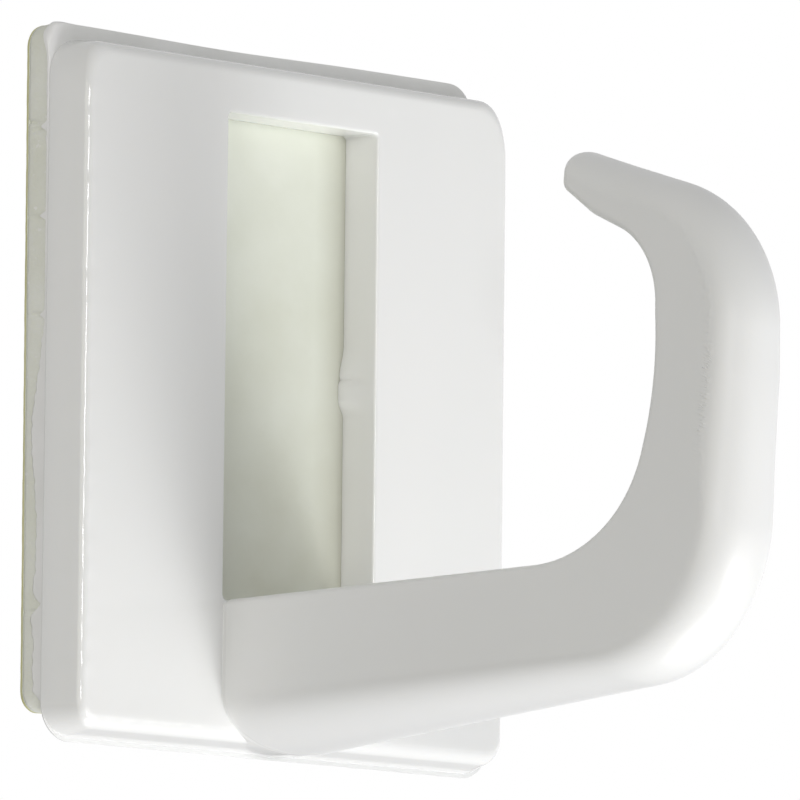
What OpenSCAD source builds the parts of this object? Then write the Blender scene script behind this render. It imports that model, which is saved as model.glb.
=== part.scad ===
// Adhesive wall hook: a moulded plate and arm in one piece, stuck to a foam pad with a peel-off liner.
// Frame: X across the plate, +Y into the wall, +Z up. The origin lies on the wall face, behind the
// middle of the plate. Sizes are in millimetres.

/* [Back plate] */
// Width of the plate at its back
plate_w = 44.8; // [38:0.5:60]
// Height of the plate at its back
plate_h = 50; // [46:0.5:70]
// Thickness of the plate
plate_t = 2.9; // [2.2:0.1:5]
// Radius of the plate's four corners, seen from the front
plate_corner_r = 2.7; // [2.5:0.1:6]
// How far each side of the plate leans in from its back to its front
plate_lean = 1.2; // [0.4:0.1:1.6]
// Rounding of the edge all round the plate's face
plate_edge_r = 1.1; // [0.4:0.1:1.6]

/* [Window] */
// Width of the window through the plate, and of the arm's root below it
window_w = 14.8; // [10:0.1:20]
// Height of the window's lower edge above the plate's lower edge
window_base = 10.9; // [8:0.1:14]
// Height of the bar of plate left above the window
window_head = 4; // [2.5:0.1:8]
// Radius of the window's corners
window_corner_r = 0.4; // [0.2:0.1:1.5]

/* [Arm, inner line] */
// Reach of the level run, from the plate's face to the corner under the throat
throat_depth = 37.1; // [28:0.1:50]
// Rise of the arm's top face over the level run
arm_rise = 1.5; // [0.4:0.1:3]
// Inner radius of the lower bend
bend_inner_r = 10.4; // [6:0.1:12]
// Height of the upright, from the window's lower edge to the upper corner
upright_h = 22.1; // [20:0.1:32]
// How far the upright leans out over its height
upright_lean = 0.9; // [0:0.1:2.5]
// Inner radius of the upper bend
head_inner_r = 6.6; // [3:0.1:8]
// How far the tip runs back towards the plate
tip_run = 8; // [7:0.1:12]
// How far the tip climbs over that run
tip_rise = 4.3; // [2:0.1:6]

/* [Arm, section] */
// Depth of the level run at the lower bend's corner
bend_depth = 8.1; // [6:0.1:11]
// Thickness of the upright at the lower bend's corner
bend_thick = 7.1; // [5:0.1:10]
// Outer radius of the lower bend
bend_outer_r = 11.6; // [8:0.1:15]
// Thickness of the upright at the upper bend's corner
head_thick = 8.3; // [6:0.1:10]
// Height of the arm's back over the upper bend's inner corner
head_depth = 2.6; // [2:0.1:4]
// Outer radius of the upper bend
head_outer_r = 10.5; // [7:0.1:12]
// Height of the tip's end
tip_depth = 3.8; // [2.5:0.1:5]
// How far the tip's upper edge runs past its lower edge
tip_nose = 1; // [0:0.1:1.5]
// Length of the tip's rounded end
tip_cap = 1.9; // [0.8:0.1:2.5]
// Width of the upright
upright_w = 6.7; // [5:0.1:9]
// Width of the tip
tip_w = 5.4; // [4:0.1:7]
// Depth of the rounding on the arm's outer side
round_depth = 2.7; // [1.5:0.1:4]
// Rounding of the arm's two inner edges
inner_edge_r = 0.6; // [0.3:0.1:1]
// Step from the plate's lower edge up to the arm's underside at its root
root_step = 0.2; // [0.1:0.1:1]

/* [Adhesive pad] */
// Width of the pad
pad_w = 42.5; // [34:0.1:56]
// Height of the pad
pad_h = 49.1; // [40:0.1:68]
// Radius of the pad's corners
pad_corner_r = 1.7; // [1:0.1:5]
// How far the pad was stuck on off the plate's middle, sideways
pad_shift_x = -1.4; // [-2.5:0.1:2.5]
// How far the pad was stuck on off the plate's middle, upwards
pad_shift_z = 1.6; // [-2.5:0.1:2.5]
// Thickness of the foam
foam_t = 1.6; // [0.8:0.1:4]
// Thickness of each coat of adhesive
adhesive_t = 0.1; // [0.05:0.01:0.3]
// Thickness of the release liner
liner_t = 0.2; // [0.1:0.01:0.4]

/* [Hidden] */

// The stack from the wall outwards: each face is the back of the layer in front of it
wall_face = 0;
liner_face = wall_face - liner_t;
rear_face = liner_face - adhesive_t;
foam_face = rear_face - foam_t;
plate_back = foam_face - adhesive_t;
plate_face = plate_back - plate_t;

plate_bottom = -plate_h / 2;
window_bottom = plate_bottom + window_base;
window_top = plate_h / 2 - window_head;
window_cut = 1;

// Side outlines of the arm, each point as [distance out from the plate's face, height]
inner_corners = [
    [0, window_bottom],
    [throat_depth, window_bottom + arm_rise],
    [throat_depth + upright_lean, window_bottom + upright_h],
    [throat_depth + upright_lean - tip_run, window_bottom + upright_h + tip_rise],
];
outer_corners = [
    [0, plate_bottom + root_step],
    inner_corners[1] + [bend_thick, -bend_depth],
    inner_corners[2] + [head_thick, head_depth],
    inner_corners[3] + [-tip_nose, tip_depth],
];

// The arm's root is sunk into the plate, up to a skin at its back, with its top a little under the window
root_skin = 0.3;
root_sink = plate_t - root_skin;
root_drop = 0.3;
// The rounding takes at most this share of a thin stretch
round_share = 0.6;

corner_steps = 8;
edge_steps = 5;
run_steps = 6;
bend_steps = 14;
round_steps = 16;
inner_edge_steps = 3;
cap_steps = 5;
// The cap's last ring stops just short of a point
cap_turn = 80;

function unit(v) = v / norm(v);
function turned(v, a) = [v.x * cos(a) - v.y * sin(a), v.x * sin(a) + v.y * cos(a)];
function turn_between(a, b) = atan2(a.x * b.y - a.y * b.x, a * b);

// Points of the arc that rounds corner b between the lines from a and to c
function bend_points(a, b, c, r) =
    let (
        way_in = unit(b - a),
        way_out = unit(c - b),
        turn = turn_between(way_in, way_out),
        start = b - way_in * r * tan(turn / 2),
        middle = start + r * [-way_in.y, way_in.x]
    )
    [for (i = [0:bend_steps]) middle + turned(start - middle, turn * i / bend_steps)];

// Points along a straight stretch, without its two ends
function run_points(a, b) = [for (i = [1:run_steps - 1]) a + (b - a) * i / run_steps];

// A side outline: level run, lower bend, upright, upper bend and tip
function side_outline(c, low_r, high_r) =
    let (
        low = bend_points(c[0], c[1], c[2], low_r),
        high = bend_points(c[1], c[2], c[3], high_r)
    )
    concat(
        [c[0]], run_points(c[0], low[0]), low, run_points(low[bend_steps], high[0]),
        high, run_points(high[bend_steps], c[3]), [c[3]]
    );

// Rounded rectangle about the origin, as points
function rounded_rect(w, h, r) = [
    for (corner = [0:3], i = [0:corner_steps])
        let (
            a = 90 * (corner + i / corner_steps),
            side_x = corner == 0 || corner == 3 ? 1 : -1,
            side_y = corner < 2 ? 1 : -1
        )
        [side_x * (w / 2 - r) + r * cos(a), side_y * (h / 2 - r) + r * sin(a)]
];

// One ring of the plate, drawn in by an inset at a depth
function plate_ring(inset, y) = [
    for (p = rounded_rect(plate_w - 2 * inset, plate_h - 2 * inset, plate_corner_r - inset)) [p.x, y, p.y]
];

// The D section: flat inner side with two small roundings, flat sides, rounded outer side.
// Each point is [across, depth] for a half width h and a thickness t
function arm_section(h, t) =
    let (
        d = min(round_depth, t * round_share),
        e = inner_edge_r,
        edge_turns = [for (i = [0:inner_edge_steps]) 90 * i / inner_edge_steps],
        round_turns = [for (i = [0:round_steps]) 180 * i / round_steps]
    )
    concat(
        [for (a = edge_turns) [e - h - e * sin(a), e - e * cos(a)]],
        [for (a = round_turns) [-h * cos(a), t - d + d * sin(a)]],
        [for (a = edge_turns) [h - e + e * cos(a), e - e * sin(a)]]
    );

// A ring of the arm from its inner point to its outer point, shrunk about its middle and moved along
function arm_ring(inner, outer, half, shrink = 1, shift = [0, 0]) =
    let (t = norm(outer - inner), across = unit(outer - inner))
    [
        for (s = arm_section(half, t))
            let (p = inner + across * ((s.y - t / 2) * shrink + t / 2) + shift)
            [s.x * shrink, plate_face - p.x, p.y]
    ];

// Closed skin over a list of rings with as many points each
module skin(rings) {
    n = len(rings[0]);
    last = len(rings) - 1;
    sides = [
        for (i = [0:last - 1], j = [0:n - 1])
            let (a = i * n + j, b = i * n + (j + 1) % n)
            each [[a, b + n, b], [a, a + n, b + n]]
    ];
    first_cap = [for (j = [0:n - 1]) j];
    last_cap = [for (j = [n - 1:-1:0]) last * n + j];
    polyhedron(
        points = [for (ring = rings) each ring],
        faces = concat(sides, [first_cap, last_cap]),
        convexity = 6
    );
}

module plate() {
    side_angle = atan2(plate_lean, plate_t);
    // Where the leaning side turns into the rounded edge, and how far the rounding turns
    edge_turn = 90 - side_angle;
    edge_run = plate_edge_r * tan(edge_turn / 2);
    edge_middle = [plate_lean + edge_run, plate_t - plate_edge_r];
    edge = [
        for (i = [0:edge_steps])
            let (a = side_angle + edge_turn * i / edge_steps)
            edge_middle + plate_edge_r * [-cos(a), sin(a)]
    ];
    skin(concat([plate_ring(0, plate_back)], [for (e = edge) plate_ring(e.x, plate_back - e.y)]));
}

module window() {
    translate([0, plate_back + window_cut, (window_bottom + window_top) / 2])
        rotate([90, 0, 0])
            linear_extrude(plate_t + 2 * window_cut)
                polygon(rounded_rect(window_w, window_top - window_bottom, window_corner_r));
}

module arm() {
    inner = side_outline(inner_corners, bend_inner_r, head_inner_r);
    outer = side_outline(outer_corners, bend_outer_r, head_outer_r);
    last = len(inner) - 1;
    // The arm narrows from the window's width to the upright's, and then to the tip's
    upright_start = run_steps + bend_steps;
    half = [
        for (k = [0:last])
            k <= upright_start
                ? (window_w + (upright_w - window_w) * min(inner[k].x / throat_depth, 1)) / 2
                : (upright_w + (tip_w - upright_w) * (k - upright_start) / (last - upright_start)) / 2
    ];
    tip_way = unit(unit(inner[last] - inner[last - 1]) + unit(outer[last] - outer[last - 1]));
    root = [arm_ring(inner[0] - [root_sink, root_drop], outer[0] - [root_sink, 0], half[0])];
    body = [for (k = [0:last]) arm_ring(inner[k], outer[k], half[k])];
    cap = [
        for (i = [1:cap_steps])
            let (a = cap_turn * i / cap_steps)
            arm_ring(inner[last], outer[last], half[last], cos(a), tip_way * tip_cap * sin(a))
    ];
    skin(concat(root, body, cap));
}

// A sheet of the pad's outline, from one face to the next
module pad_sheet(back, front) {
    translate([pad_shift_x, back, pad_shift_z])
        rotate([90, 0, 0])
            linear_extrude(back - front)
                polygon(rounded_rect(pad_w, pad_h, pad_corner_r));
}

module hook_body() {
    color("whitesmoke") {
        difference() {
            plate();
            window();
        }
        arm();
    }
}

module front_adhesive() {
    color("ivory") pad_sheet(foam_face, plate_back);
}

module foam_pad() {
    color("beige") pad_sheet(rear_face, foam_face);
}

module rear_adhesive() {
    color("ivory") pad_sheet(liner_face, rear_face);
}

module release_liner() {
    color("khaki") pad_sheet(wall_face, liner_face);
}

hook_body();
front_adhesive();
foam_pad();
rear_adhesive();
release_liner();
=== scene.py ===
# %% [markdown]
# # An adhesive wall hook
# The hook is one white moulding, a plate with a tapering arm that curls up and back, stuck to a
# thick foam pad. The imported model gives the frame: every piece below is worked out in that frame,
# in metres, with +Y into the wall. The moulding could keep the flat facets of its solid, but a
# glossy white surface shows each facet, so a smooth skin replaces it.

# %% Load the frame
import math

import bpy
import numpy as np
from mathutils import Matrix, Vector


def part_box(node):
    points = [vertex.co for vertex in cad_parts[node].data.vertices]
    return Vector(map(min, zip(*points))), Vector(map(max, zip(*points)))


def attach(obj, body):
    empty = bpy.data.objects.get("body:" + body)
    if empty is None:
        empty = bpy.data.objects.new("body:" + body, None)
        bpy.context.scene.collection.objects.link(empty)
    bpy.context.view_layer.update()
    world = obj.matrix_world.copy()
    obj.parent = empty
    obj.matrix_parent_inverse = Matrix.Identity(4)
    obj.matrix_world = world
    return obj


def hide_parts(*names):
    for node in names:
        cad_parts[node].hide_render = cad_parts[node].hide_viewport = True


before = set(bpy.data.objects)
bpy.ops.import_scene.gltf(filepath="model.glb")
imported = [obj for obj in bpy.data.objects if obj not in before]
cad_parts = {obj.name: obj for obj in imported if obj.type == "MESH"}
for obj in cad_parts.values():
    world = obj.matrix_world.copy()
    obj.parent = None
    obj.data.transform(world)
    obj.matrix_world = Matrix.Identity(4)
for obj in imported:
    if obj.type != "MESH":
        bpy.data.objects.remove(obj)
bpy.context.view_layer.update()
scene = bpy.context.scene
MM = 0.001

# %% [markdown]
# ## The camera
# The photograph looks up a little at the hook from its front left, from far away through a long
# lens, so upright edges stay nearly parallel. A camera could be aimed with a Track To constraint,
# but the small roll of the hand-held view is easier to give as three axes: right, up and back.

# %% Camera
IMAGE_SIZE = 800
SENSOR = 36.0
VIEW_AZIMUTH = math.radians(45)
VIEW_CLIMB = math.radians(6.69)
VIEW_ROLL = math.radians(0.61)
VIEW_DISTANCE = 755.2 * MM
FOCAL_PIXELS = 10500
VIEW_TARGET = np.array([5.08, -10.0, 0.93]) * MM


def camera_axes(azimuth, climb, roll):
    """Right, up and back axes of a camera that looks along (sin a cos c, cos a cos c, sin c),
    rolled about that line."""
    ahead = np.array([math.sin(azimuth) * math.cos(climb), math.cos(azimuth) * math.cos(climb),
                      math.sin(climb)])
    level = np.array([math.cos(azimuth), -math.sin(azimuth), 0])
    upright = np.cross(level, ahead)
    right = level * math.cos(roll) + upright * math.sin(roll)
    up = upright * math.cos(roll) - level * math.sin(roll)
    return right, up, -ahead


right, up, back = camera_axes(VIEW_AZIMUTH, VIEW_CLIMB, VIEW_ROLL)
camera = bpy.data.objects.new("camera", bpy.data.cameras.new("camera"))
scene.collection.objects.link(camera)
camera.data.sensor_width = SENSOR
camera.data.lens = FOCAL_PIXELS * SENSOR / IMAGE_SIZE
camera_place = np.eye(4)
camera_place[:3, :3] = np.column_stack([right, up, back])
camera_place[:3, 3] = VIEW_TARGET + back * VIEW_DISTANCE
camera.matrix_world = Matrix(camera_place.tolist())
scene.camera = camera
print("camera at", np.round(camera_place[:3, 3], 3), "lens", round(camera.data.lens, 1), "mm")

# %% [markdown]
# ## From a grid of points to a mesh
# Every surface here is a function of two parameters: rows run along a path and columns run round a
# section. Points could be added one by one, but the whole grid is one array and its quads are
# index arrays, so no loop visits single points. A fan closes a ring that ends a grid.


# %% Grid to mesh
def grid_faces(rows, columns, wrap_rows):
    """Quads between neighbouring rows and columns; columns wrap round, and rows only if asked."""
    row = np.arange(rows if wrap_rows else rows - 1)[:, None]
    column = np.arange(columns)[None, :]
    next_row, next_column = (row + 1) % rows, (column + 1) % columns
    corners = [row * columns + column, row * columns + next_column,
               next_row * columns + next_column, next_row * columns + column]
    return np.stack(corners, axis=-1).reshape(-1, 4)


def fan_faces(ring, pole):
    """Triangles from each edge of a ring of indices to one pole."""
    return np.column_stack([ring, np.roll(ring, -1), np.full(len(ring), pole)])


def signed_volume(points, triangles):
    """A sixth of the sum of all triangles' triple products: positive when they face outwards."""
    a, b, c = (points[triangles[:, i]] for i in range(3))
    return np.einsum("ij,ij->i", a, np.cross(b, c)).sum() / 6


def placed(name, mesh):
    """The mesh as an object of the scene, shaded smoothly."""
    mesh.shade_smooth()
    piece = bpy.data.objects.new(name, mesh)
    scene.collection.objects.link(piece)
    print(name, len(mesh.vertices), "points,", len(mesh.polygons), "faces")
    return piece


def skin(name, grid, wrap_rows=False):
    """Closed mesh object over grid[row, column]: wrapped both ways, or with its first and last
    rows fanned shut."""
    rows, columns = grid.shape[:2]
    points = grid.reshape(-1, 3)
    quads = grid_faces(rows, columns, wrap_rows)
    fans = np.empty((0, 3), int)
    if not wrap_rows:
        ends = grid[[0, -1]].mean(axis=1)
        first, last = np.arange(columns), np.arange(columns) + (rows - 1) * columns
        fans = np.vstack([fan_faces(first[::-1], len(points)), fan_faces(last, len(points) + 1)])
        points = np.vstack([points, ends])
    triangles = np.vstack([quads[:, [0, 1, 2]], quads[:, [0, 2, 3]], fans])
    outwards = signed_volume(points, triangles) > 0
    faces = [f[:, ::1 if outwards else -1].tolist() for f in (quads, fans)]
    mesh = bpy.data.meshes.new(name)
    mesh.from_pydata(points.tolist(), [], faces[0] + faces[1])
    mesh.validate()
    return placed(name, mesh)


# %% [markdown]
# ## The plate
# The plate is a shallow moulding with leaning sides, a rounded front edge and a tall window. A
# cube with bevels and a Boolean could make it, but one grid is cleaner: a closed section, window
# wall, front, side and back, is carried round the plate. Each column joins a place on the window's
# outline to the like place on the plate's, so corner meets corner.

# %% Sizes of the plate
hook_low, hook_high = np.array(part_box("hook_body"))
plate_w = hook_high[0] - hook_low[0]
plate_h = hook_high[2] - hook_low[2]
plate_back = hook_high[1]
plate_bottom = hook_low[2]
plate_t = 2.9 * MM
plate_face = plate_back - plate_t
# Corners run anticlockwise from the top right; a growth is the radius gained per length drawn in.
plate_corner_radii = np.array([3.4, 2.7, 2.7, 2.7]) * MM
corner_growths = np.array([0.0, -0.3, -0.9, -0.9])
# Each list of four below has a number for the left, right, bottom and top side.
side_leans = np.array([1.29, 1.42, 1.1, 0.3]) * MM
side_edge_radii = np.array([0.75, 0.45, 1.1, 1.0]) * MM
side_fins = np.array([0.004, 0.14, 0.32, 0.004]) * MM
side_overhangs = np.array([0.0, 0.1, 0.0, 0.0]) * MM
fin_t = 0.1 * MM
back_edge_r = 0.04 * MM
window_w = 14.8 * MM
window_sill, window_head = 10.9 * MM, 4.0 * MM
window_bottom = plate_bottom + window_sill
window_top = hook_high[2] - window_head
window_corner_r = 0.4 * MM
window_edge_r = 0.18 * MM
print("plate", np.round([plate_w / MM, plate_h / MM], 2), "mm, face at", round(plate_face / MM, 2))


# %% Outlines
def rounded_rectangle(width, height, radius, side_steps, corner_steps):
    """Closed outline about the origin: four corner arcs joined by straight sides, each cut into
    equal steps. The radius is one for all corners, or one each, anticlockwise from the top
    right."""
    turn = np.linspace(0, np.pi / 2, corner_steps + 1)
    points = []
    for corner, r in enumerate(np.broadcast_to(radius, 4)):
        sign_x = 1 if corner in (0, 3) else -1
        sign_z = 1 if corner < 2 else -1
        middle = np.array([sign_x * (width / 2 - r), sign_z * (height / 2 - r)])
        angle = turn + corner * np.pi / 2
        points.append(middle + r * np.column_stack([np.cos(angle), np.sin(angle)]))
    share = (np.arange(1, side_steps) / side_steps)[:, None]
    loop = []
    for corner in range(4):
        start, end = points[corner][-1], points[(corner + 1) % 4][0]
        loop += [points[corner], start + (end - start) * share]
    return np.vstack(loop)


def outward(loop):
    """Unit normal of a closed loop at each point, from the points before and after it."""
    along = np.roll(loop, -1, axis=0) - np.roll(loop, 1, axis=0)
    along /= np.linalg.norm(along, axis=1)[:, None]
    return np.column_stack([along[:, 1], -along[:, 0]])


PLATE_SIDE_STEPS = 110
PLATE_CORNER_STEPS = 12


def plate_outline(inset):
    """Outline of the plate, drawn in by an inset; each corner's radius changes along with it."""
    return rounded_rectangle(plate_w - 2 * inset, plate_h - 2 * inset,
                             plate_corner_radii + corner_growths * inset,
                             PLATE_SIDE_STEPS, PLATE_CORNER_STEPS)


def side_shares(normal):
    """How far each point belongs to the left, right, bottom and top side: squares of its normal's
    parts."""
    x, z = normal.T
    return np.maximum(0, np.stack([-x, x, -z, z], axis=1)) ** 2


plate_rim = plate_outline(0)
drawn_in = (plate_outline(MM) - plate_rim) / MM
shares = side_shares(outward(plate_rim))
plate_lean, plate_edge_r = shares @ side_leans, shares @ side_edge_radii
fin, overhang = shares @ side_fins, shares @ side_overhangs
side_angle = np.arctan2(plate_lean, plate_t)
edge_inset = plate_lean + plate_edge_r * np.tan((np.pi / 2 - side_angle) / 2)
print("front edge drawn in by", np.round([edge_inset.min() / MM, edge_inset.max() / MM], 2), "mm")


def plate_loop(inset):
    """The plate's rim drawn in by an inset of its own at each point."""
    return plate_rim + drawn_in * inset[:, None]


def window_loop(growth):
    """Outline of the window, grown by an amount, about the middle of the plate."""
    loop = rounded_rectangle(window_w + 2 * growth, window_top - window_bottom + 2 * growth,
                             window_corner_r + growth, PLATE_SIDE_STEPS, PLATE_CORNER_STEPS)
    return loop + [0, (window_top + window_bottom) / 2]


def at_depth(loop, y):
    """A flat loop of X and Z set at a depth Y, which may vary along the loop."""
    return np.column_stack([loop[:, 0], np.full(len(loop), y), loop[:, 1]])


# %% Plate grid
WALL_ROWS = 14
FACE_ROWS = 34
EDGE_ROWS = 20
SIDE_ROWS = 10
BACK_ROWS = 8
SMALL_EDGE_ROWS = 4
WINDOW_ROWS = 2 * SMALL_EDGE_ROWS + WALL_ROWS - 2


def arc(start, end, count):
    """Angles from start to end in degrees, as radians."""
    return np.radians(np.linspace(start, end, count))


def plate_rows():
    """Rows of the plate's closed section, from the window's back edge round the front to the back
    again: arcs at the edges, given by sine and cosine, and straight lines between them."""
    quarter = arc(0, 90, SMALL_EDGE_ROWS)
    rows = [at_depth(window_loop(back_edge_r * (1 - math.sin(a))),
                     plate_back - back_edge_r * (1 - math.cos(a))) for a in quarter]
    wall = np.linspace(plate_back - back_edge_r, plate_face + window_edge_r, WALL_ROWS)[1:-1]
    rows += [at_depth(window_loop(0), y) for y in wall]
    rows += [at_depth(window_loop(window_edge_r * (1 - math.cos(a))),
                      plate_face + window_edge_r * (1 - math.sin(a))) for a in quarter]
    inner, outer = window_loop(window_edge_r), plate_loop(edge_inset)
    rows += [at_depth(inner + (outer - inner) * share, plate_face)
             for share in np.linspace(0, 1, FACE_ROWS)[1:-1]]
    angles = [np.pi / 2 + (side_angle - np.pi / 2) * share
              for share in np.linspace(0, 1, EDGE_ROWS)]
    edge = [(edge_inset - plate_edge_r * np.cos(a), plate_t - plate_edge_r * (1 - np.sin(a)))
            for a in angles]
    (start, top), foot = edge[-1], fin - overhang
    side = [(foot + (start - foot) * share, fin_t + (top - fin_t) * share)
            for share in np.linspace(1, 0, SIDE_ROWS)[1:]]
    lip = [(-overhang, fin_t), (-overhang, 0)]
    rows += [at_depth(plate_loop(inset), plate_back - height)
             for inset, height in edge + side + lip]
    inner, outer = window_loop(back_edge_r), plate_loop(-overhang)
    rows += [at_depth(outer + (inner - outer) * share, plate_back)
             for share in np.linspace(0, 1, BACK_ROWS)[1:-1]]
    return np.stack(rows)


plate_grid = plate_rows()
print("plate grid", plate_grid.shape)

# %% [markdown]
# A moulding is never perfect. The section above already holds the thin fin that the mould left at
# the right and bottom. On the right wall of the window a tongue of flash crept past the core, and
# that wall leans open. The plate's front edge wanders by a few hundredths of a millimetre, most on
# the left. Sculpting could do this by hand, but small moves of the grid's points come out the same
# each time.

# %% Flash on the window's wall
WALL_SLACK = 1.01
UPPER_LOBE = 0.8
flash_bottom, flash_middle, flash_top = 0.4 * MM, 3.3 * MM, 5.7 * MM
flash_rise, flash_drop, flash_step = 1.2 * MM, 0.4 * MM, 0.5 * MM
flash_reach = 0.52 * MM
flash_depth = 1.7 * MM
wall_front, wall_back = 0.3 * MM, -0.2 * MM


def smooth_step(value, low, high):
    """0 below low, 1 above high, and a smooth S between them."""
    share = np.clip((value - low) / (high - low), 0, 1)
    return share * share * (3 - 2 * share)


def add_flash(grid):
    """Pushes the back of the window's right wall inwards: two lobes in height, fading out towards
    the front as a bell curve."""
    x, y, z = (grid[..., i] for i in range(3))
    on_wall = np.abs(x - window_w / 2) < back_edge_r * WALL_SLACK
    on_wall &= y > plate_face + window_edge_r
    lower = smooth_step(z, flash_bottom, flash_bottom + flash_rise)
    lower *= 1 - smooth_step(z, flash_middle - flash_drop, flash_middle)
    upper = smooth_step(z, flash_middle - flash_step, flash_middle)
    upper *= 1 - smooth_step(z, flash_middle, flash_top)
    lobes = np.maximum(lower, UPPER_LOBE * upper)
    fade = np.exp(-((plate_back - y) / flash_depth) ** 2)
    x -= np.where(on_wall, flash_reach * lobes * fade, 0)


def open_right_wall(rows):
    """Leans the window's right wall: its points move right at the front and left at the back,
    evenly between."""
    x, y = rows[..., 0], rows[..., 1]
    at_right = smooth_step(x, window_w / 2 - 2 * flash_reach, window_w / 2 - flash_reach)
    x += at_right * (wall_front + (wall_back - wall_front) * (y - plate_face) / plate_t)


add_flash(plate_grid)
open_right_wall(plate_grid[:WINDOW_ROWS])
print("flash reaches", round(flash_reach / MM, 2), "mm into the window")

# %% The plate's uneven edge
SEED_ALONG_Z, SEED_ALONG_X = 3, 4
rim_waves = np.array([1.7, 2.3, 3.7, 6.1, 9.7]) * MM
rim_start, rim_full = 3.0 * MM, 1.8 * MM
front_start, front_full = 1.0 * MM, 2.0 * MM
left_start, left_full = 19 * MM, 20.5 * MM
edge_wander = 0.01 * MM
left_wander = 0.024 * MM


def wander(along, wave_lengths, seed):
    """Smooth wandering value, mostly within -1 to 1: cosines of the given wave lengths with seeded
    phases, added up and divided by the root of their number."""
    phases = np.random.default_rng(seed).uniform(0, 2 * np.pi, len(wave_lengths))
    waves = [np.cos(2 * np.pi * along / length + phase)
             for length, phase in zip(wave_lengths, phases)]
    return sum(waves) / math.sqrt(len(wave_lengths))


def roughen_edge(grid):
    """Moves the points of the plate's front edge in and out of the face by a wandering amount
    along X and Z, weighted by how near they are to the rim and to the front."""
    x, y, z = (grid[..., i] for i in range(3))
    to_rim = np.minimum(plate_w / 2 - np.abs(x), plate_h / 2 - np.abs(z))
    weight = smooth_step(-to_rim, -rim_start, -rim_full)
    weight *= smooth_step(plate_back - y, front_start, front_full)
    amount = edge_wander + (left_wander - edge_wander) * smooth_step(-x, left_start, left_full)
    waver = wander(z, rim_waves, SEED_ALONG_Z) + wander(x, rim_waves, SEED_ALONG_X)
    y += amount * weight * waver


roughen_edge(plate_grid)
plate = skin("plate", plate_grid, wrap_rows=True)

# %% [markdown]
# ## The arm
# The arm is a D-shaped bar: a flat inner side where the mould's core lay, flat flanks, and a
# rounded outer side. It leaves the plate as wide as the window, narrows as it runs out, turns up,
# and curls back to a blunt tip. A curve with a bevel profile could not taper its width and its
# depth apart, so the section is carried along two side outlines with as many stations each.

# %% Sizes of the arm
upright_w = 6.7 * MM
tip_w = 5.4 * MM
tip_cap = 1.4 * MM
root_round = 3.8 * MM
round_depth = 2.7 * MM
round_share = 0.6
inner_edge_r = 0.6 * MM
root_step = 0.2 * MM
root_cover = 0.3 * MM
root_sink = plate_t - root_cover
root_lift = 0.02 * MM
fillet_r = 0.12 * MM
fillet_sunk = 0.03 * MM
throat_depth = 37.1 * MM
# Corners as distance out from the plate and height: root, lower bend, upright, upper bend, tip and
# nose. The radii round the four corners between the root and the nose.
inner_corners = np.array([[0, window_bottom / MM], [35.2, -12.9], [38.3, -0.4],
                          [37.7, 8.5], [31.5, 11.3], [29.1, 13.0]]) * MM
inner_radii = np.array([10.3, 27.0, 6.4, 5.0]) * MM
outer_corners = np.array([[0, (plate_bottom + root_step) / MM], [44.05, -20.85], [45.5, -3.0],
                          [46.05, 10.7], [33.0, 14.86], [29.4, 16.05]]) * MM
outer_radii = np.array([11.4, 100.0, 11.0, 60.0]) * MM
print("arm", np.round([window_w / MM, upright_w / MM, tip_w / MM], 2), "mm wide, root to tip")

# %% Side outlines of the arm
RUN_STATIONS = 120
RUN_CROWDING = 2.2
BEND_STATIONS = (90, 90, 56, 12)
LINE_STATIONS = (40, 20, 20, 14)
run_shares = np.linspace(0, 1, RUN_STATIONS)[:-1] ** RUN_CROWDING


def unit(vector):
    """The vector at length one."""
    return vector / np.linalg.norm(vector)


def bend(before, corner, after, radius, count):
    """Arc that rounds a corner: it leaves the first line and meets the second at a distance of
    radius times tan(turn / 2) from the corner."""
    way_in, way_out = unit(corner - before), unit(after - corner)
    turn = math.atan2(way_in[0] * way_out[1] - way_in[1] * way_out[0], way_in @ way_out)
    start = corner - way_in * radius * math.tan(abs(turn) / 2)
    side = np.array([-way_in[1], way_in[0]]) * np.sign(turn)
    angle = np.linspace(0, abs(turn), count)[:, None]
    return start + radius * (np.sin(angle) * way_in + (1 - np.cos(angle)) * side)


def stretch(start, end, shares):
    """Points on a straight line at the given shares of its length."""
    return start + (end - start) * shares[:, None]


def side_outline(corners, radii):
    """The arm seen from the side: its level run, then a bend and a straight line for each further
    corner."""
    bends = [bend(*corners[i:i + 3], radius, count)
             for i, (radius, count) in enumerate(zip(radii, BEND_STATIONS))]
    pieces = [stretch(corners[0], bends[0][0], run_shares)]
    line_ends = [points[0] for points in bends[1:]] + [corners[-1]]
    for points, count, end in zip(bends, LINE_STATIONS, line_ends):
        pieces += [points, stretch(points[-1], end, np.linspace(0, 1, count)[1:-1])]
    return np.vstack(pieces + [corners[-1:]])


def travelled(line):
    """Distance along a line of points up to each of them: the running sum of its steps' lengths."""
    steps = np.linalg.norm(np.diff(line, axis=0), axis=1)
    return np.concatenate([[0], np.cumsum(steps)])


inner_line = side_outline(inner_corners, inner_radii)
outer_line = side_outline(outer_corners, outer_radii)
sunk_line = np.array([[-root_sink, 0], [-root_sink / 2, 0], [-2 * fillet_sunk, 0]])
inner_line = np.vstack([sunk_line + inner_line[0], inner_line]) + [0, root_lift]
outer_line = np.vstack([sunk_line + outer_line[0], outer_line])
travel = travelled((inner_line + outer_line) / 2)
print("arm:", len(inner_line), "stations over", round(travel[-1] / MM, 1), "mm")

# %% Widths and roundings along the arm
EASE = 0.1
TIP_POWER = 1.5
UPRIGHT_START = len(sunk_line) + RUN_STATIONS - 1 + BEND_STATIONS[0]


def eased(run):
    """The run's share, held at 0 or more, whose rise fades out over its last tenth as a parabola
    and stops at 1."""
    last = np.clip(run, 1 - EASE, 1 + EASE) - (1 - EASE)
    return np.maximum(0, np.minimum(run, 1 - EASE)) + last - last ** 2 / (4 * EASE)


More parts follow.
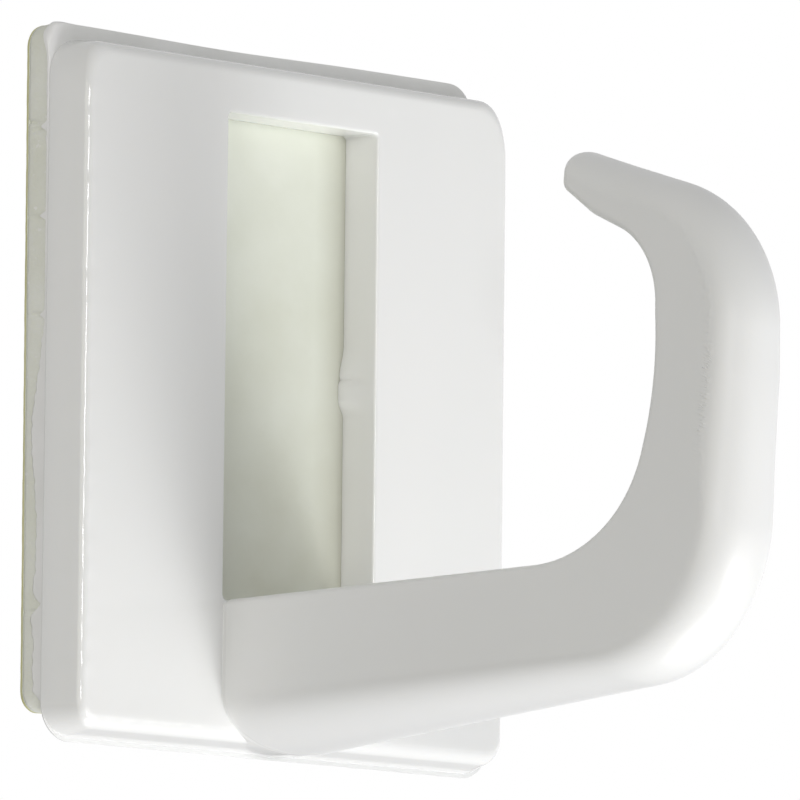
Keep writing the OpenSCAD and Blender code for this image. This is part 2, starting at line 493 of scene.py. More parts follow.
run_share = eased(np.maximum.accumulate(inner_line[:, 0]) / throat_depth)
past_bend = (travel - travel[UPRIGHT_START]) / (travel[-1] - travel[UPRIGHT_START])
rest_share = np.clip(past_bend, 0, 1) ** TIP_POWER
half_width = (window_w + (upright_w - window_w) * run_share + (tip_w - upright_w) * rest_share) / 2
thickness = np.linalg.norm(outer_line - inner_line, axis=1)
rounding = np.minimum(root_round + (round_depth - root_round) * run_share, thickness * round_share)
print("arm thickness", np.round([thickness.max() / MM, thickness.min() / MM], 1), "mm")

# %% Sections of the arm
EDGE_STEPS = 6
FLANK_STEPS = 16
ROUND_STEPS = 60
FLAT_STEPS = 12


def arm_sections(half, thick, depth):
    """D sections, one row each: two edge arcs on the flat inner side, straight flanks and a half
    ellipse outside. Returns how far each point lies across the arm and how deep it lies from the
    inner line."""
    half, thick, depth = (value[:, None] for value in (half, thick, depth))
    turn = np.linspace(0, np.pi / 2, EDGE_STEPS + 1)
    sweep = np.linspace(0, np.pi, ROUND_STEPS + 1)
    flank = np.linspace(0, 1, FLANK_STEPS + 1)[1:-1]
    flat = np.linspace(0, 1, FLAT_STEPS + 1)[1:-1]
    edge_across = inner_edge_r * (1 - np.sin(turn)) - half
    edge_depth = inner_edge_r * (1 - np.cos(turn)) + 0 * half
    flank_depth = inner_edge_r + (thick - depth - inner_edge_r) * flank
    across = [edge_across, -half + 0 * flank, -half * np.cos(sweep), half + 0 * flank,
              -edge_across[:, ::-1], (half - inner_edge_r) * (1 - 2 * flat)]
    deep = [edge_depth, flank_depth, thick - depth + depth * np.sin(sweep), flank_depth[:, ::-1],
            edge_depth[:, ::-1], 0 * half + 0 * flat]
    return np.hstack(across), np.hstack(deep)


across, deep = arm_sections(half_width, thickness, rounding)
print("arm sections", across.shape)

# %% [markdown]
# A small fillet runs down both flanks at the arm's root: a quarter circle that widens the sections
# near the face. Where a flank turns into the rounded side the halves of the mould met, and that
# line carries crumbs of flash, thickest on the upright. A bump in the material could draw them,
# but they break the outline, so they are real steps of the grid.

# %% Fillet at the root
fillet_start, fillet_full = 0.2 * MM, 1.6 * MM


def fillet_growth(out):
    """Extra half width at a distance out from the plate: a quarter circle, sunk a little so that
    it crosses the face."""
    rise = np.clip((out + fillet_sunk) / fillet_r, 0, 1)
    return fillet_r * (1 - np.sqrt(1 - (1 - rise) ** 2))


below_top = smooth_step(deep, fillet_start, fillet_full)
root_growth = fillet_growth(inner_line[:, 0])
across = across * (1 + (root_growth / half_width)[:, None] * below_top)
print("fillet widens each flank by up to", round(root_growth.max() / MM, 2), "mm")

# %% Crumbs on the mould line
CRUMB_SEED = 11
CRUMB_COLUMNS = 4
CRUMB_DRAW = 0.7
CRUMB_POWER = 3
LEFT_MOULD_LINE = EDGE_STEPS + FLANK_STEPS
RIGHT_MOULD_LINE = LEFT_MOULD_LINE + ROUND_STEPS
crumb_height = 0.08 * MM
crumbs_start, crumbs_full = -14 * MM, -4 * MM
crumbs_fade, crumbs_end = 7 * MM, 11 * MM


def crumbs(stations, reach):
    """Height of the flash at each station: draws over a limit, raised to a power and scaled by
    reach, so that a few points stand out and most stay bare."""
    draws = np.random.default_rng(CRUMB_SEED).random((stations, CRUMB_COLUMNS))
    return crumb_height * reach[:, None] * np.where(draws > CRUMB_DRAW, draws ** CRUMB_POWER, 0)


upright_reach = smooth_step(outer_line[:, 1], crumbs_start, crumbs_full)
upright_reach *= 1 - smooth_step(inner_line[:, 1], crumbs_fade, crumbs_end)
line_crumbs = crumbs(len(across), upright_reach)
across[:, LEFT_MOULD_LINE + np.arange(CRUMB_COLUMNS)] -= line_crumbs
across[:, RIGHT_MOULD_LINE - np.arange(CRUMB_COLUMNS)] += line_crumbs
print("crumbs:", np.count_nonzero(line_crumbs), "points on each side")

# %% Arm grid and its rounded tip
CAP_STATIONS = 16
CAP_SWEEP = 88


def arm_grid(inner, outer, across, deep):
    """Sets each section between its inner and outer point: across is X, and depth runs from inner
    to outer."""
    way = (outer - inner) / np.linalg.norm(outer - inner, axis=1)[:, None]
    side = inner[:, None, :] + way[:, None, :] * deep[:, :, None]
    return np.stack([across, plate_face - side[..., 0], side[..., 1]], axis=-1)


def tip_rings(ring, way, length, count):
    """Closes the tip: the last ring shrinks with the cosine and moves on with the sine of a growing
    angle, which stops just short of a right angle."""
    angle = arc(0, CAP_SWEEP, count + 1)[1:, None, None]
    middle = (ring.min(axis=0) + ring.max(axis=0)) / 2
    return middle + (ring - middle) * np.cos(angle) + way * length * np.sin(angle)


body_grid = arm_grid(inner_line, outer_line, across, deep)
tip_way = unit(unit(inner_line[-1] - inner_line[-2]) + unit(outer_line[-1] - outer_line[-2]))
tip_way = np.array([0, -tip_way[0], tip_way[1]])
tip_grid = tip_rings(body_grid[-1], tip_way, tip_cap, CAP_STATIONS)
arm = skin("arm", np.vstack([body_grid, tip_grid]))

# %% [markdown]
# Plate and arm are one moulding, so a Boolean union joins the two closed skins and drops what lies
# inside. The result is read from the evaluated object, which leaves no live modifier. Edges
# sharper than 35 degrees keep their crease, and all others shade smoothly.

# %% One moulding
CREASE_ANGLE = math.radians(35)


def united(name, base, other):
    """Boolean union of two closed meshes as a new object; both originals are removed."""
    union = base.modifiers.new("union", "BOOLEAN")
    union.operation = "UNION"
    union.solver = "EXACT"
    union.object = other
    evaluated = base.evaluated_get(bpy.context.evaluated_depsgraph_get())
    mesh = bpy.data.meshes.new_from_object(evaluated)
    mesh.name = name
    for old in (base, other):
        bpy.data.objects.remove(old)
    piece = placed(name, mesh)
    mesh.set_sharp_from_angle(angle=CREASE_ANGLE)
    return piece


hook = united("hook_moulding", plate, arm)
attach(hook, "hook")
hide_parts("hook_body")

# %% [markdown]
# ## The pad
# The pad is a piece of double-sided foam tape: a foam core, a coat of adhesive on each face and a
# paper liner. It was cut by hand, so no edge is quite straight, the foam is nicked, and on the
# left the cut slopes and the front coat is folded back in a torn lip. A bevelled box for each
# layer would look machined, so each layer is a section carried round one hand-cut rim.

# %% Sizes of the pad
foam_low, foam_high = np.array(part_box("foam_pad"))
front_low, front_high = np.array(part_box("front_adhesive"))
rear_low, rear_high = np.array(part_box("rear_adhesive"))
liner_low, liner_high = np.array(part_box("release_liner"))
pad_w, pad_h = foam_high[0] - foam_low[0], foam_high[2] - foam_low[2]
pad_middle = np.array([foam_high[0] + foam_low[0], foam_high[2] + foam_low[2]]) / 2
pad_corner_radii = np.array([2.4, 1.75, 1.5, 1.7]) * MM
left_slant, right_slant = 0.0049, 0.016
top_dip = 0.17 * MM
top_dip_middle, top_dip_width = -5 * MM, 9 * MM
# A zone gives how far inside the rim an effect starts, and how far inside it is full.
cut_zone = np.array([2, 0.5]) * MM
right_zone = np.array([4, 1.5]) * MM
left_edge_zone = np.array([1.0, 0.3]) * MM
left_taper = 0.28 * MM
corner_swell = 0.24 * MM
corner_crush = 0.5 * MM
swell_width = 1.3 * MM
foam_back, foam_front = foam_high[1], foam_low[1]
foam_t = foam_back - foam_front
print("pad", np.round([pad_w / MM, pad_h / MM, foam_t / MM], 2), "mm")

# %% Rim of the pad
PAD_SIDE_STEPS = 400
PAD_CORNER_STEPS = 16
TOP_LEFT = PAD_CORNER_STEPS + PAD_SIDE_STEPS + PAD_CORNER_STEPS // 2


def pad_rim():
    """Outline of the pad as cut: a rounded rectangle whose sides draw in a little downwards and
    whose top dips as a bell curve."""
    loop = rounded_rectangle(pad_w, pad_h, pad_corner_radii, PAD_SIDE_STEPS, PAD_CORNER_STEPS)
    loop = loop + pad_middle
    x, z = loop.T.copy()
    near_left = smooth_step(-x, *(-foam_low[0] - cut_zone))
    near_right = smooth_step(x, *(foam_high[0] - right_zone))
    near_top = smooth_step(z, *(foam_high[2] - cut_zone))
    loop[:, 0] += (right_slant * near_right - left_slant * near_left) * z
    loop[:, 1] -= top_dip * np.exp(-((x - top_dip_middle) / top_dip_width) ** 2) * near_top
    return loop


rim = pad_rim()
rim_normal = outward(rim)
rim_travel = travelled(rim)
on_left = smooth_step(-rim[:, 0], *(-foam_low[0] - left_edge_zone))
near_corner = np.exp(-((rim_travel - rim_travel[TOP_LEFT]) / swell_width) ** 2)
swell, crush = corner_swell * near_corner, corner_crush * near_corner
print("rim of the pad:", len(rim), "points over", round(rim_travel[-1] / MM), "mm")

# %% Slabs round the rim
FACE_SHRINK = 0.98


def rim_ring(inset, y):
    """The rim drawn in along its normals by an inset, at a depth; both may vary along it."""
    inset = inset + 0 * rim_travel
    loop = rim - rim_normal * inset[:, None]
    return np.column_stack([loop[:, 0], y + 0 * inset, loop[:, 1]])


def shrunk_rings(ring, count):
    """Rings that shrink in even steps from a rim ring towards the middle of the pad, at the ring's
    mean depth."""
    middle = np.array([pad_middle[0], ring[:, 1].mean(), pad_middle[1]])
    shares = 1 - np.linspace(0, 1, count + 1)[1:] * FACE_SHRINK
    return [middle + (ring - middle) * [share, 0, share] for share in shares]


def closed_slab(name, edge, face_rows):
    """A slab: its edge is a list of rings from back to front, and rings close both faces towards
    the middle."""
    rear_face, front_face = shrunk_rings(edge[0], face_rows), shrunk_rings(edge[-1], face_rows)
    return skin(name, np.stack(rear_face[::-1] + edge + front_face))


# %% Foam core
FOAM_EDGE_ROWS = 16
HIDDEN_FACE_ROWS = 4
FOAM_SEED = 21
foam_waves = np.array([0.9, 1.6, 3.3, 5.9, 11.0]) * MM
foam_inset = 0.035 * MM
foam_wander = 0.014 * MM
foam_skew = 0.7 * MM
foam_hollow = 0.02 * MM
nick_heights = np.array([22.8, 18.95, 18.5, 12.2, 5.2, 0.5, -0.4, -15.9]) * MM
nick_depths = np.array([0.10, 0.24, 0.20, 0.16, 0.24, 0.12, 0.14, 0.16]) * MM
nick_shares = np.array([1.0, 0.2, 0.5, 0.4, 0.5, 0.8, 0.8, 0.4])
nick_width = 0.14 * MM
nick_spread = 0.35
lip_thick = 0.03 * MM


def foam_edge(share):
    """Inset of the foam's edge at a share of its thickness: a wandering cut, a slight hollow,
    bell-shaped nicks, the slope of the left side and the round of the crushed top left corner,
    less that corner's swelling."""
    cut = foam_wander * wander(rim_travel + foam_skew * share, foam_waves, FOAM_SEED)
    hollow = foam_hollow * math.sin(math.pi * share)
    reach = nick_depths * np.exp(-((share - nick_shares) / nick_spread) ** 2)
    bells = np.exp(-((rim[:, 1, None] - nick_heights) / nick_width) ** 2)
    nicks = (reach * bells).sum(axis=1) * on_left
    behind_face = foam_front - front_low[1] + foam_t * (1 - share)
    into_round = np.clip(1 - behind_face / (crush + lip_thick), 0, 1)
    rounded = crush * (1 - np.sqrt(1 - into_round ** 2))
    return foam_inset + cut + hollow + nicks + rounded + (left_taper * on_left - swell) * share


foam_rings = [rim_ring(foam_edge(share), foam_back + (foam_front - foam_back) * share)
              for share in np.linspace(0, 1, FOAM_EDGE_ROWS)]
foam = closed_slab("foam_core", foam_rings, HIDDEN_FACE_ROWS)
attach(foam, "hook")
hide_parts("foam_pad")

# %% [markdown]
# The front coat of adhesive is seen in the window and at the rim. A thin sheet could stand for it,
# but its torn edge is folded over the foam, so it is a shallow lid: a flat top and a thin skirt,
# the lip, that reaches far back only down the lower left, at a few tabs above that, and at the
# crushed corner.

# %% Front adhesive with its lip
LIP_ROWS = 12
LID_EDGE_ROWS = 8
TOP_FACE_ROWS = 12
LIP_SEED = 41
lip_waves = np.array([0.8, 1.3, 2.9, 4.7]) * MM
lip_low = 0.12 * MM
lip_ragged = 0.06 * MM
lip_flare = 0.08
lip_heights = np.array([-22.6, -21.6, -18.2, -16.2, -15.4, -14.6, -11.0, -6.0, -3.8, -1.0,
                        3.4, 4.8, 5.15, 5.5, 11.9, 12.2, 12.5, 18.2, 18.6, 19.0]) * MM
lip_reaches = np.array([0.20, 0.75, 0.80, 0.95, 0.20, 0.85, 0.55, 0.85, 1.15, 0.90,
                        0.25, 0.10, 0.65, 0.10, 0.10, 0.55, 0.10, 0.10, 0.60, 0.10]) * MM


def lip_depth():
    """How far the lip reaches back over the foam: a torn outline down the left edge, straight
    between the given heights, and a narrow rim elsewhere."""
    torn = np.interp(rim[:, 1], lip_heights, lip_reaches)
    ragged = lip_ragged * wander(rim_travel, lip_waves, LIP_SEED)
    return np.maximum(lip_low + crush, (torn + ragged) * on_left)


def lid_rings():
    """Rings of the lid: top face, rounded edge, skirt down, skirt up inside, and under face. The
    skirt follows the slope, the swelling and the crushed corner of the foam, and its torn end
    stands off a little."""
    top, under = front_low[1], front_high[1]
    reach, edge_r = lip_depth(), lip_thick + crush
    slope = left_taper * on_left - swell
    flare = lip_flare * (reach - lip_low - crush)

    def skirt(share, inset):
        """A ring of the skirt: share 0 is at the lid's edge and 1 at the torn end."""
        back = reach * share
        drawn = inset + slope * (1 - back / foam_t) - flare * share
        return rim_ring(drawn, top + edge_r * (1 - share) + back)

    fall = np.linspace(0, 1, LIP_ROWS)
    edge = [rim_ring(edge_r * (1 - math.sin(a)) + slope, top + edge_r * (1 - math.cos(a)))
            for a in arc(0, 90, LID_EDGE_ROWS)]
    outside = [skirt(share, 0) for share in fall[1:]]
    inside = [skirt(share, lip_thick) for share in fall[::-1]]
    floor_ring = rim_ring(lip_thick + crush + slope, under)
    return (shrunk_rings(edge[0], TOP_FACE_ROWS)[::-1] + edge + outside + inside[:-1]
            + [floor_ring] + shrunk_rings(floor_ring, HIDDEN_FACE_ROWS))


front_coat = skin("front_coat", np.stack(lid_rings()))
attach(front_coat, "hook")
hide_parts("front_adhesive")

# %% [markdown]
# The rear coat holds the hook to the wall, and a paper liner covers it until then. A flat outline
# with a Solidify modifier would give both a square edge, so each is a thin slab with a rounded,
# wavering one. The liner rides on a body of its own, because it is peeled off.

# %% Rear adhesive and liner
SHEET_EDGE_ROWS = 5
SHEET_ROUND = 0.3
sheet_waves = np.array([1.3, 3.1, 7.3, 15.0]) * MM


def plain_sheet(name, low, high, inset, waver, seed):
    """A thin sheet: its edge is a parabola across the thickness, drawn in by a wandering cut."""
    share = np.linspace(0, 1, SHEET_EDGE_ROWS)
    bulge = SHEET_ROUND * (high[1] - low[1]) * (np.abs(2 * share - 1) ** 2)
    cut = inset + waver * (1 + wander(rim_travel, sheet_waves, seed))
    edge = [rim_ring(cut + b, high[1] + (low[1] - high[1]) * s) for b, s in zip(bulge, share)]
    return closed_slab(name, edge, HIDDEN_FACE_ROWS)


rear_coat = plain_sheet("rear_coat", rear_low, rear_high,
                        inset=0.02 * MM, waver=0.01 * MM, seed=61)
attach(rear_coat, "hook")
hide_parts("rear_adhesive")
liner = plain_sheet("liner_sheet", liner_low, liner_high, inset=0.0, waver=0.012 * MM, seed=62)
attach(liner, "liner")
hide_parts("release_liner")

# %% [markdown]
# ## Finishes
# Nodes can be placed by hand in the shader editor; in a script, one helper for each kind of node
# is shorter. All patterns read Object coordinates, in metres, so a noise scale of 200 gives
# patches of about 5 mm. A value that is the same all over sits on the shader's own socket.

# %% Node helpers
NOISE_LOW, NOISE_HIGH = 0.3, 0.7
# A Mix node has sockets for numbers, vectors and colours; these are the places of the colour ones.
MIX_FIRST, MIX_SECOND, MIX_RESULT = 6, 7, 2


class Finish:
    """A material with a Principled shader, and short ways to feed its sockets. A pattern fed to a
    socket takes the place of the plain value given here."""

    def __init__(self, name, roughness, specular=0.5):
        self.material = bpy.data.materials.new(name)
        self.material.use_nodes = True
        self.tree = self.material.node_tree
        self.shader = self.tree.nodes["Principled BSDF"]
        self.feed(self.shader, {"Roughness": roughness, "Specular IOR Level": specular})
        self.place = self.tree.nodes.new("ShaderNodeTexCoord").outputs["Object"]

    def feed(self, node, sockets):
        """Gives each socket of a node its plain value, or links it to another node's output."""
        for key, value in sockets.items():
            if isinstance(value, bpy.types.NodeSocket):
                self.tree.links.new(value, node.inputs[key])
            else:
                node.inputs[key].default_value = value

    def node(self, kind, sockets=None, **settings):
        """A new node with its settings, and its sockets fed."""
        made = self.tree.nodes.new("ShaderNode" + kind)
        for key, value in settings.items():
            setattr(made, key, value)
        self.feed(made, sockets or {})
        return made

    def noise(self, scale, detail=3.0, roughness=0.5, stretch=(1, 1, 1)):
        """Noise on Object coordinates, with an optional stretch."""
        mapped = self.node("Mapping", {"Vector": self.place, "Scale": stretch})
        made = self.node("TexNoise", {"Vector": mapped.outputs["Vector"], "Scale": scale,
                                      "Detail": detail, "Roughness": roughness})
        return made.outputs["Fac"]

    def cells(self, scale):
        """Distance to the nearest cell point, for foam."""
        made = self.node("TexVoronoi", {"Vector": self.place, "Scale": scale})
        return made.outputs["Distance"]

    def spread(self, value, to_low, to_high, low=NOISE_LOW, high=NOISE_HIGH):
        """Maps a value's range, low to high, onto another."""
        made = self.node("MapRange", {"Value": value, "From Min": low, "From Max": high,
                                      "To Min": to_low, "To Max": to_high})
        return made.outputs["Result"]

    def rise(self, axis, start, full, top=1):
        """A value along the Object axis X, Y or Z: 0 up to start, then growing straight to top,
        which it reaches at full."""
        made = self.node("SeparateXYZ", {"Vector": self.place})
        return self.spread(made.outputs[axis], 0, top, low=start, high=full)

    def pick(self, operation, first, second):
        """Two values joined by one operation: MAXIMUM, MINIMUM or MULTIPLY."""
        made = self.node("Math", {0: first, 1: second}, operation=operation)
        return made.outputs["Value"]

    def ramp(self, value, low_colour, high_colour, low=NOISE_LOW, high=NOISE_HIGH):
        """Colour that goes from one to the other as the value goes from low to high."""
        made = self.node("ValToRGB", {"Fac": value})
        first, last = made.color_ramp.elements
        first.position, last.position = low, high
        first.color, last.color = (*low_colour, 1), (*high_colour, 1)
        return made.outputs["Color"]

    def mix(self, factor, first, second):
        """Mix of two colours by a factor; a plain colour has its alpha with it."""
        made = self.node("Mix", data_type="RGBA")
        self.feed(made, {"Factor": factor, MIX_FIRST: first, MIX_SECOND: second})
        return made.outputs[MIX_RESULT]

    def bump(self, height, distance, strength, below=None):
        """Bump from a height, over another bump if one is given."""
        made = self.node("Bump", {"Height": height, "Distance": distance, "Strength": strength})
        if below is not None:
            self.feed(made, {"Normal": below})
        return made.outputs["Normal"]

    def soften(self, weight, radius, scale):
        """Lets some light into the surface: its share, how far each colour goes, and a length."""
        self.feed(self.shader, {"Subsurface Weight": weight, "Subsurface Radius": radius,
                                "Subsurface Scale": scale})

    def set(self, socket, output):
        """Feeds a socket of the shader."""
        self.feed(self.shader, {socket: output})


def dress(piece, finish):
    """Gives a piece its only material."""
    piece.data.materials.clear()
    piece.data.materials.append(finish.material)
    print(piece.name, "wears", finish.material.name)


# %% [markdown]
# The moulding is glossy white plastic that lets in a little light: the plate mirrors sharply and
# the arm softly. Two materials would need a border between faces, so one material takes the duller
# of two roughness values at each point. Slow noise varies the white, and a ripple bends what it
# mirrors.

# %% Glossy white plastic
white_dim, white_bright = (0.815, 0.82, 0.815), (0.83, 0.83, 0.825)
plate_roughness = (0.08, 0.14)
arm_roughness, upright_roughness = 0.29, 0.42
arm_start, arm_full = -5.0 * MM, -5.2 * MM
upright_start, upright_full = -30 * MM, -36 * MM
upright_low, upright_high = -16.5 * MM, -8.5 * MM


def white_plastic():
    """Slightly milky white moulding with faint flow patches, a ripple, and an uneven gloss: the
    plate is glossy, the arm duller from its root on, and the upright the dullest."""
    finish = Finish("white_plastic", roughness=0.3)
    flow = finish.noise(scale=110, detail=1, stretch=(1, 1, 0.5))
    finish.set("Base Color", finish.ramp(flow, white_dim, white_bright, low=0.2, high=0.8))
    gloss = finish.spread(finish.noise(scale=300, detail=1), *plate_roughness, low=0.2, high=0.8)
    far_out = finish.rise("Y", upright_start, upright_full)
    high_up = finish.rise("Z", upright_low, upright_high)
    on_upright = finish.pick("MINIMUM", far_out, high_up)
    dull_gloss_and_painted_shade = finish.spread(on_upright, arm_roughness, upright_roughness, low=0, high=1)
    arm_dull = finish.pick("MULTIPLY", finish.rise("Y", arm_start, arm_full), dull_gloss_and_painted_shade)
    finish.set("Roughness", finish.pick("MAXIMUM", gloss, arm_dull))
    ripple = finish.noise(scale=160, detail=1)
    finish.set("Normal", finish.bump(ripple, distance=0.12 * MM, strength=0.15))
    finish.soften(weight=0.15, radius=(1.0, 0.95, 0.85), scale=1.2 * MM)
    return finish


dress(hook, white_plastic())

# %% [markdown]
# The cut edge of the foam shows fine cells and pale crumbs. They are too small to model, so a
# Voronoi pattern and noise raise the surface, and clouds and flecks vary its colour.

# %% Cut foam
BLACK, WHITE = (0, 0, 0), (1, 1, 1)
foam_dim, foam_bright = (0.80, 0.81, 0.72), (0.88, 0.89, 0.83)
foam_crumb = (0.90, 0.90, 0.86, 1)


def cut_foam():
    """Pale green ivory foam with fine cells, cloudy patches and a few pale crumbs."""
    finish = Finish("cut_foam", roughness=0.85, specular=0.3)
    cloud = finish.noise(scale=260, detail=5, roughness=0.6)
    base = finish.ramp(cloud, foam_dim, foam_bright, high=0.72)
    fleck = finish.ramp(finish.noise(scale=1500, detail=2), BLACK, WHITE, low=0.66, high=0.72)
    finish.set("Base Color", finish.mix(fleck, base, foam_crumb))
    cells = finish.bump(finish.cells(scale=4200), distance=0.04 * MM, strength=0.4)
    torn = finish.noise(scale=900, detail=4)
    finish.set("Normal", finish.bump(torn, distance=0.1 * MM, strength=0.4, below=cells))
    finish.soften(weight=0.2, radius=(1.0, 1.0, 0.8), scale=0.8 * MM)
    return finish


dress(foam, cut_foam())

# %% [markdown]
# Both coats are a tacky, cloudy ivory. The front one carries painted shade: darker low in the
# window, where the arm's root keeps light off it, and darker and browner beside the window's right
# wall, which shades it. It is also paler at the rim. Painted masks could hold these zones, but a
# rise along one Object axis says the same in one line.

# %% Adhesive
tack_dim, tack_bright = (0.80, 0.83, 0.71), (0.86, 0.89, 0.78)
# Painted shade: darker tack colours for the low part of the window, under the arm's root.
shaded_tack_dim, shaded_tack_bright = (0.65, 0.66, 0.56), (0.71, 0.73, 0.64)
grey_dim, grey_bright = (0.79, 0.795, 0.775), (0.87, 0.875, 0.86)
lip_dim, lip_bright = (0.90, 0.90, 0.885), (0.96, 0.955, 0.95)
# Painted shade beside the window's right wall: a dark brownish colour, its share, and where along X
# it starts and is full.
wall_shade_colour = (0.50, 0.49, 0.40, 1)
wall_shade_share = 0.6
wall_shade_start, wall_shade_full = 4.2 * MM, 7.5 * MM
# Along Z the painted shade low in the window fades out between these heights.
shade_fade_start, shade_fade_full = -12 * MM, 20 * MM
top_start, top_full = 22 * MM, 24 * MM
lip_start, lip_full = -20 * MM, -22 * MM


def adhesive(name):
    """Tacky coat: cloudy ivory with a green cast. Returns the finish, its clouds and its colour."""
    finish = Finish(name, roughness=0.5)
    cloud = finish.noise(scale=190, detail=4, roughness=0.5)
    plain_tack = finish.ramp(cloud, tack_dim, tack_bright)
    finish.set("Base Color", plain_tack)
    finish.set("Roughness", finish.spread(finish.noise(scale=700), to_low=0.42, to_high=0.62))
    grain = finish.noise(scale=800, detail=4)
    finish.set("Normal", finish.bump(grain, distance=0.05 * MM, strength=0.5))
    finish.soften(weight=0.15, radius=(1.0, 1.0, 0.8), scale=0.6 * MM)
    return finish, cloud, plain_tack


def front_tack():
    """The coat behind the plate: painted shade darkens it downwards in the window and, browner,
    along the window's right wall; it is grey at its top rim and pale at its left."""
    finish, cloud, plain_tack = adhesive("front_tack")
    # Painted shade: a darker copy of the tack colour, mixed in downwards in the window.
    dull_gloss_and_painted_shade = finish.ramp(cloud, shaded_tack_dim, shaded_tack_bright)
    shaded_below = finish.mix(finish.rise("Z", shade_fade_start, shade_fade_full), dull_gloss_and_painted_shade, plain_tack)
    # Painted shade cast by the window's right wall, brownish, mixed in towards that wall along X.
    wall_shaded = finish.mix(finish.rise("X", wall_shade_start, wall_shade_full, wall_shade_share), shaded_below, wall_shade_colour)
    grey = finish.ramp(cloud, grey_dim, grey_bright)
    topped = finish.mix(finish.rise("Z", top_start, top_full), wall_shaded, grey)
    lip = finish.ramp(cloud, lip_dim, lip_bright)
    finish.set("Base Color", finish.mix(finish.rise("X", lip_start, lip_full), topped, lip))
    return finish


dress(front_coat, front_tack())
dress(rear_coat, adhesive("rear_tack")[0])

# %% [markdown]
# The liner is coated paper. Its faint fibres could be curves, but at this size noise stretched
# along Z is enough.

# %% Coated paper
straw_dim, straw_bright = (0.50, 0.49, 0.24), (0.62, 0.60, 0.34)


def coated_paper():
    """Coated straw-coloured paper with faint fibres."""
    finish = Finish("coated_paper", roughness=0.4)
    fibre = finish.noise(scale=900, detail=6, stretch=(1, 1, 0.25))
    finish.set("Base Color", finish.ramp(fibre, straw_dim, straw_bright))
    finish.set("Roughness", finish.spread(finish.noise(scale=500), to_low=0.34, to_high=0.48))
    finish.set("Normal", finish.bump(fibre, distance=0.03 * MM, strength=0.4))
    return finish


dress(liner, coated_paper())

# %% [markdown]
# ## Studio
# The hook hangs clear of a pale floor in front of plain white. The floor could be lit until it is
# white, but that light would also reach the hook, so camera rays are shown a paler floor instead.

# %% Floor
FLOOR_LEVEL = -0.9
FLOOR_RADIUS = 6.0
FLOOR_THICK = 0.01
FLOOR_HUB = 0.02
FLOOR_SIDES = 64
FLOOR_WHITE = 0.5
floor_dim, floor_bright = (0.86, 0.86, 0.86), (0.88, 0.88, 0.88)


def floor_grid():
    """A flat disc with a thin edge, as rings of cosine and sine."""
    angle = np.linspace(0, 2 * np.pi, FLOOR_SIDES, endpoint=False)
    circle = np.column_stack([np.cos(angle), np.sin(angle), 0 * angle])
    rings = [(FLOOR_HUB, -FLOOR_THICK), (1.0, -FLOOR_THICK), (1.0, 0.0), (FLOOR_HUB, 0.0)]
    return np.stack([circle * FLOOR_RADIUS * size + [0, 0, FLOOR_LEVEL + level]
                     for size, level in rings])


def show_mix(tree, end, factor, first, second):
    """Mixes two shader nodes by a factor, and feeds the mix to the tree's end node."""
    mixed = tree.nodes.new("ShaderNodeMixShader")
    for place, output in enumerate((factor, first.outputs[0], second.outputs[0])):
        tree.links.new(output, mixed.inputs[place])
    tree.links.new(mixed.outputs["Shader"], tree.nodes[end].inputs["Surface"])


def paler_to_camera(finish, share):
    """Camera rays see a share of plain white over the surface's own shade; all other rays meet it
    as it is."""
    path, white = finish.node("LightPath"), finish.node("Emission")
    seen = finish.spread(path.outputs["Is Camera Ray"], 0, share, low=0, high=1)
    show_mix(finish.tree, "Material Output", seen, finish.shader, white)
    finish.material.cycles.emission_sampling = "NONE"


floor = skin("floor", floor_grid())
pale_floor = Finish("pale_floor", roughness=0.9, specular=0.1)
pale_floor.set("Base Color", pale_floor.ramp(pale_floor.noise(scale=3), floor_dim, floor_bright))
paler_to_camera(pale_floor, FLOOR_WHITE)
dress(floor, pale_floor)

# %% [markdown]
# A backdrop could be a curved sheet, but it would hide the hook from behind. A white world needs
# no mesh: it is white to the camera and in mirrored rays, and lights the hook only dimly.

# %% World
WORLD_LIGHT = 0.37


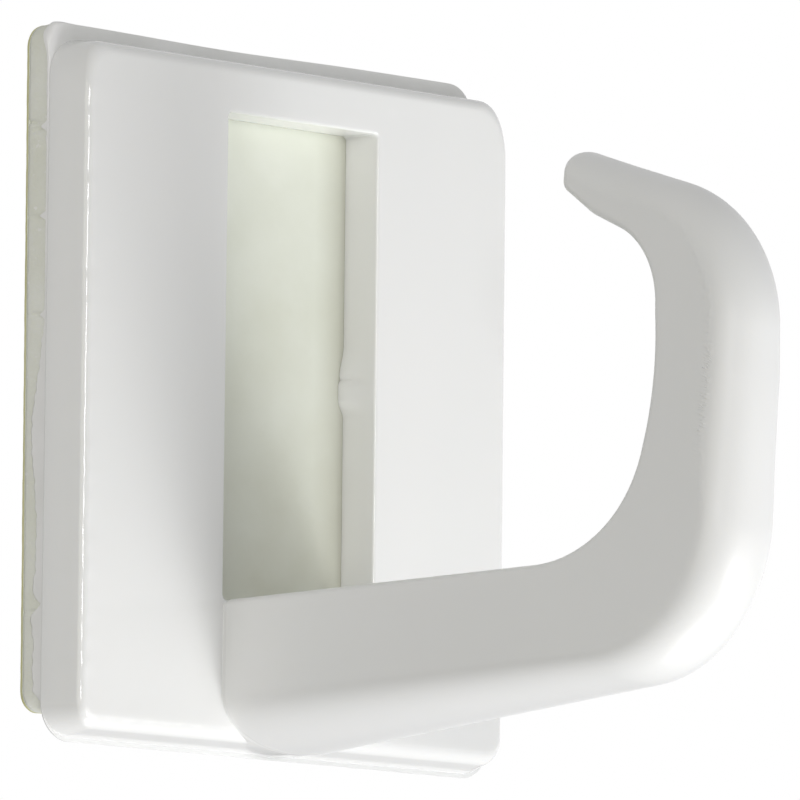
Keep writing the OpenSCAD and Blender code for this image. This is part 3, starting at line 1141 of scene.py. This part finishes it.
def white_world():
    """Plain light from all round; to the camera, and to mirrored and passing rays, the same world
    is white."""
    world = bpy.data.worlds.new("studio")
    world.use_nodes = True
    nodes, links = world.node_tree.nodes, world.node_tree.links
    light, white = nodes["Background"], nodes.new("ShaderNodeBackground")
    for background, strength in ((light, WORLD_LIGHT), (white, 1)):
        background.inputs["Color"].default_value = (1, 1, 1, 1)
        background.inputs["Strength"].default_value = strength
    path = nodes.new("ShaderNodeLightPath")
    seen = path.outputs["Is Camera Ray"]
    for ray in ("Is Glossy Ray", "Is Transmission Ray"):
        either = nodes.new("ShaderNodeMath")
        either.operation = "MAXIMUM"
        links.new(seen, either.inputs[0])
        links.new(path.outputs[ray], either.inputs[1])
        seen = either.outputs["Value"]
    show_mix(world.node_tree, "World Output", seen, light, white)
    return world


scene.world = white_world()
print("world light", WORLD_LIGHT)

# %% [markdown]
# Most of the light comes from the front, low and to the right, so the arm's underside and the
# plate's lower edge are the brightest. Point lamps would throw hard shadows, so these are area
# lamps, each placed by its direction from the hook.

# %% Lamps
lamp_aim = np.array([0, -15, 0]) * MM


def lamp(name, way, distance, size, power, colour=(1, 1, 1)):
    """A soft area lamp in a direction from the hook, turned to face it and unseen by the camera."""
    away = unit(np.array(way, float))
    side = unit(np.cross([0, 0, 1], away))
    place = np.eye(4)
    place[:3, :3] = np.column_stack([side, np.cross(away, side), away])
    place[:3, 3] = lamp_aim + away * distance
    made = bpy.data.objects.new(name, bpy.data.lights.new(name, "AREA"))
    made.data.shape = "RECTANGLE"
    made.data.size, made.data.size_y = size
    made.data.energy = power
    made.data.color = colour
    made.matrix_world = Matrix(place.tolist())
    made.visible_camera = False
    scene.collection.objects.link(made)
    print(name, "at", np.round(place[:3, 3], 2), power, "W")


lamp("floor_softbox", way=(0.3, -0.3, -0.9), distance=0.4, size=(0.25, 0.25), power=1.0)
lamp("front_softbox", way=(0.4, -0.8, -0.45), distance=0.4, size=(0.25, 0.25), power=0.36)
lamp("low_front_lamp", way=(0.25, -1.0, -0.6), distance=0.5, size=(0.12, 0.12), power=0.42)
lamp("left_softbox", way=(-0.9, -0.4, 0.0), distance=0.5, size=(0.3, 0.3), power=0.4,
     colour=(1, 0.97, 0.83))
lamp("small_front_lamp", way=(-0.6, -0.79, 0.117), distance=0.6, size=(0.08, 0.09), power=0.46)

# %% [markdown]
# ## View
# The Standard view shows a colour as it is written.

# %% View
scene.view_settings.view_transform = "Standard"
